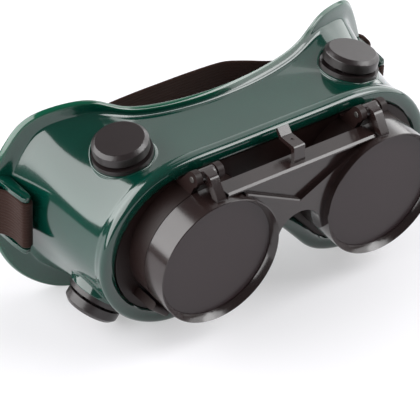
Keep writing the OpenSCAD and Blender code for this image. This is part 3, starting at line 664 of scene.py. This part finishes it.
def strapPath(side):
    wrap = strap["thick"] / 2 + strap["slack"] + loops["postR"]
    x = loops["postX"]
    y0, y1 = loops["postY"]
    fold = strapRun["tail"] + [(x - wrap, y1 + 0.6)] + arc(x, y0, wrap, 180, 360, 4)
    fold += [(x + wrap, 66.5)] + strapRun["side"]
    a, b = (np.array(p) for p in strapRun["straight"])
    if side < 0:
        straight = [a, (2 * a + b) / 3, (a + 2 * b) / 3, b] + strapRun["back"] + [(14, strap["backY"] - 0.1)]
        keys = [(-p[0], p[1]) for p in fold + strapRun["corner"] + straight]
        keys += [(0, strap["backY"])] + straight[::-1]
    else:
        d = (a - b) / np.linalg.norm(a - b)
        out = np.array([-d[1], d[0]]) * strap["pitch"]
        keys = fold + strapRun["outerCorner"] + [a + (2, -0.1) + out]
        keys += [a + t * (b - a) + out for t in (0.2, 0.5, 0.8, 1.05)]
    path = curveThrough([tuple(k) for k in keys], strap["steps"])
    rise = np.where(path[:, 1] < 80, 0, strap["rise"] * ease((56 - np.abs(path[:, 0])) / 28))
    return np.column_stack([path, rise + strap["middle"]])


# a woven band swept along a curve
def bandNodes():
    tree = bpy.data.node_groups.new("woven_band", "GeometryNodeTree")
    tree.interface.new_socket("Geometry", in_out="INPUT", socket_type="NodeSocketGeometry")
    tree.interface.new_socket("Geometry", in_out="OUTPUT", socket_type="NodeSocketGeometry")
    sizes = {"Width": "width", "Thickness": "thick", "Rib Height": "ribHeight", "Ribs": "ribs"}
    values = {}
    for name, key in sizes.items():
        kind = "NodeSocketInt" if name == "Ribs" else "NodeSocketFloat"
        socket = tree.interface.new_socket(name, in_out="INPUT", socket_type=kind)
        values[socket.identifier] = strap[key]
    given = tree.nodes.new("NodeGroupInput").outputs
    width, thick, ribHeight, ribs, line = (Signal(tree, given[name]) for name in (*sizes, "Geometry"))
    start = Signal(tree)

    # the section goes down one face and up the other, and is pushed out into ribs on both
    section = start.node("GeometryNodeCurvePrimitiveCircle", {"Resolution": strap["around"], "Radius": 1.0})
    t = start.node("GeometryNodeInputIndex") / strap["around"]
    side = t.math("LESS_THAN", 0.5) * 2 - 1
    down = t.math("PINGPONG", 0.5) * 2
    across = (down - 0.5) * width
    rib = (down * (ribs * math.pi)).math("SINE").math("ABSOLUTE")
    end = (down.math("MINIMUM", 1 - down) * 30).math("MINIMUM", 1)
    half = thick * 0.5 + (rib - 1) * ribHeight
    where = start.node("ShaderNodeCombineXYZ", {0: half * end.math("SQRT") * side, 1: across})
    section = start.node("GeometryNodeSetPosition", {"Geometry": section, "Position": where})

    # both ways along the weave are kept for the material, in m
    def kept(geometry, name, value):
        return start.node("GeometryNodeStoreNamedAttribute", {"Geometry": geometry, "Name": name, "Value": value},
                          data_type="FLOAT", domain="POINT")

    section = kept(section, "weaveAcross", across * 0.001)
    line = start.node("GeometryNodeSetCurveNormal", {"Curve": line}, mode="Z_UP")
    line = kept(line, "weaveAlong", start.node("GeometryNodeSplineParameter", output="Length") * 0.001)
    band = start.node("GeometryNodeCurveToMesh", {"Curve": line, "Profile Curve": section, "Fill Caps": True})
    band = start.node("GeometryNodeSetShadeSmooth", {"Geometry": band})
    band = start.node("GeometryNodeRealizeInstances", {"Geometry": band})
    band = start.node("GeometryNodeSetMaterial", {"Geometry": band, "Material": looks["strap"]})
    tree.links.new(band.socket, tree.nodes.new("NodeGroupOutput").inputs[0])
    return tree, values


def buildBand(name, side, tree, values):
    path = strapPath(side)
    curve = bpy.data.curves.new(name, "CURVE")
    curve.dimensions = "3D"
    spline = curve.splines.new("POLY")
    spline.points.add(len(path) - 1)
    spline.points.foreach_set("co", np.column_stack([path, np.ones(len(path))]).ravel())
    line = newObject(name + "_line", curve)
    modifier = line.modifiers.new("band", "NODES")
    modifier.node_group = tree
    for identifier, value in values.items():
        modifier[identifier] = value
    bpy.context.view_layer.update()
    mesh = bpy.data.meshes.new_from_object(line.evaluated_get(bpy.context.evaluated_depsgraph_get()))
    bpy.data.objects.remove(line)
    placeMesh(mesh)
    return newObject(name, mesh)


bandTree, bandValues = bandNodes()
for name, side in (("strap_left", -1), ("strap_right", 1)):
    band = buildBand(name + "_band", side, bandTree, bandValues)
    dress(band, "strap", "mask", name)
    print(name, len(band.data.polygons), "faces")

# the table top ends beyond the picture at the left and in front, so that the dark room shows as a
# band in the mask's sides; "white" is how much of it shines by itself for the rays named
table = {"left": -0.3, "right": 2.6, "front": -0.5, "back": 2.6, "white": 0.42,
         "paper": ((0.84, 0.83, 0.87, 1), (0.86, 0.85, 0.885, 1)), "rays": ("Camera", "Glossy", "Transmission")}


def paperMaterial():
    s = Surface("floor_paper", Specular_IOR_Level=0.2)
    s.set(Base_Color=s.spot.noise(6, 2).mix(*table["paper"]), Roughness=0.7 + 0.1 * s.spot.noise(40, 2))
    rays = [s.start.node("ShaderNodeLightPath", output=f"Is {kind} Ray") for kind in table["rays"]]
    white = s.start.node("ShaderNodeEmission", {"Color": (1, 1, 1, 1), "Strength": 1.0})
    paper = s.start.node("ShaderNodeMixShader", {0: sum(rays) * table["white"],
                                                 1: Signal(s.tree, s.shader.outputs[0]), 2: white})
    s.tree.links.new(paper.socket, s.tree.nodes["Material Output"].inputs["Surface"])
    return s.material


corners = [(table[x], table[y], 0) for x, y in (("left", "front"), ("right", "front"), ("right", "back"),
                                                ("left", "back"))]
floor = newMesh("floor", corners, [(0, 1, 2, 3)], False)
floor.data.materials.append(paperMaterial())

# softboxes, each at a bearing (0 is the front, 90 the right) and a height in degrees and at a
# distance in m from the goggles' middle
boxes = {
    "left": {"bearing": -118, "height": 33, "distance": 1.05, "wide": 2.0, "tall": 1.1, "shine": 4.6,
             "upright": True, "roll": -15},
    "back_wall": {"bearing": 137, "height": 30, "distance": 1.5, "wide": 0.9, "tall": 1.3, "shine": 0.9},
    "right": {"bearing": 80, "height": 33, "distance": 0.95, "wide": 1.6, "tall": 1.0, "shine": 2.4,
              "upright": True},
    "back_top": {"bearing": 118, "height": 62, "distance": 1.2, "wide": 0.38, "tall": 0.5, "shine": 0.9},
    "front_right": {"bearing": 50, "height": 42, "distance": 1.1, "wide": 0.65, "tall": 0.6, "shine": 5},
}


def softbox(name, bearing, height, distance, wide, tall, shine, upright=False, roll=0):
    a = math.radians(bearing)
    e = math.radians(height)
    middle = Vector((0, 0, 0.05))
    at = middle + Vector((math.sin(a) * math.cos(e), -math.cos(a) * math.cos(e), math.sin(e))) * distance
    data = bpy.data.lights.new(name, "AREA")
    data.shape = "RECTANGLE"
    data.size = wide
    data.size_y = tall
    data.energy = shine * math.pi * wide * tall
    lamp = newObject(name, data)
    lamp.location = at
    aim = middle - at
    if upright:
        aim.z = 0
    lamp.rotation_euler = (aim.to_track_quat("-Z", "Y") @ Quaternion((0, 0, 1), math.radians(roll))).to_euler()


for name, box in boxes.items():
    softbox(name, **box)

scene.world = bpy.data.worlds.new("studio")
scene.world.use_nodes = True
room = {"colour": (0.5, 0.5, 0.52, 1), "strength": 0.26}
background = scene.world.node_tree.nodes["Background"]
background.inputs["Color"].default_value = room["colour"]
background.inputs["Strength"].default_value = room["strength"]
print("floor and lights ready")

# the camera that took the photo, in the wearer's frame: its axes, its place along them and its lens
eye = {"right": (0.812, -0.583, 0.033), "up": (0.329, 0.5035, 0.799), "back": (-0.4823, -0.6377, 0.6006),
       "along": (-35.32, 6.55, 958.8), "focal": 219.42, "sensor": 36}
right, up, back = (np.array(eye[k]) / np.linalg.norm(eye[k]) for k in ("right", "up", "back"))
up = np.cross(back, right)
right = np.cross(up, back)
axes = np.column_stack([right, up, back])
pose = np.eye(4)
pose[:3, :3] = turn @ axes
pose[:3, 3] = place(axes @ eye["along"])
cameraData = bpy.data.cameras.new("camera")
cameraData.lens = eye["focal"]
cameraData.sensor_width = eye["sensor"]
cameraData.clip_start = 0.05
cameraData.clip_end = 20
camera = newObject("camera", cameraData)
camera.matrix_world = Matrix(pose.tolist())
scene.camera = camera
scene.view_settings.view_transform = "Standard"
print("camera ready")
